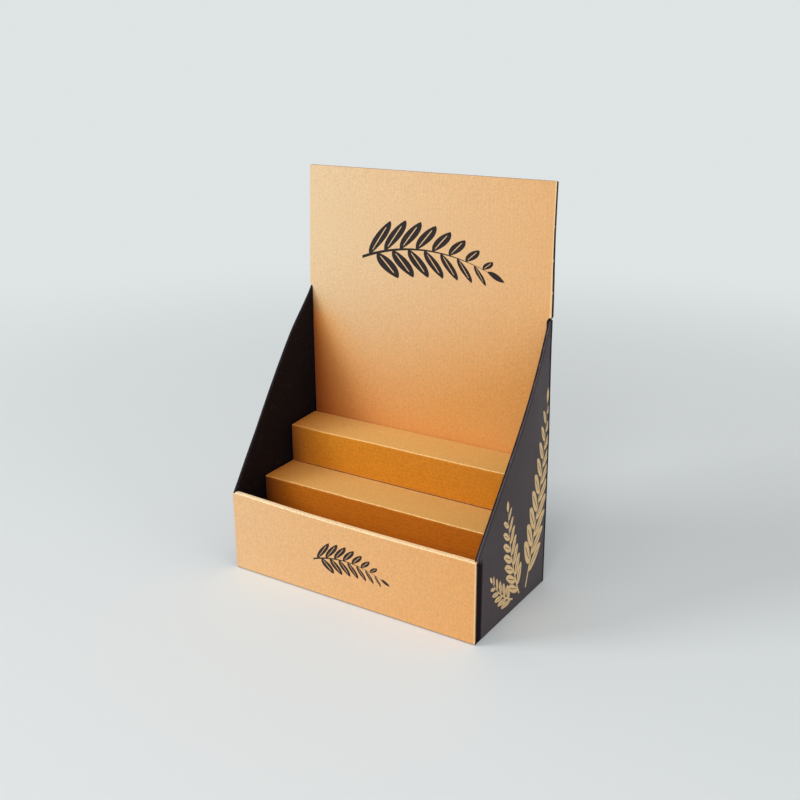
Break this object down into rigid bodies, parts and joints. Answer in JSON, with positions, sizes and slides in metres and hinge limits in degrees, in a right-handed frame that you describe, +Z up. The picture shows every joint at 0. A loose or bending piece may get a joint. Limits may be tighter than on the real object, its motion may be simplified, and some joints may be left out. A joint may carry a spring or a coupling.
{
  "type": "stepped counter display box",
  "caption": "Folded cardboard counter display: rolled front wall, slanted side walls, tall header and a stair inside for small goods.",
  "frame": {"origin": "middle of the underside of the base", "axes": "+Z up, front wall facing -Y, +X to the right of someone who faces the front"},
  "size_m": [0.234, 0.115, 0.3225],
  "materials": {
    "printed_board": "black print on kraft board, satin; the front wall is bare kraft",
    "kraft_card": "bare kraft, matte",
    "kraft_insert": "bare kraft, matte"
  },
  "bodies": {
    "root": {"tray": "printed_board", "header_card": "kraft_card", "step_insert": "kraft_insert"}
  },
  "joints": []
}
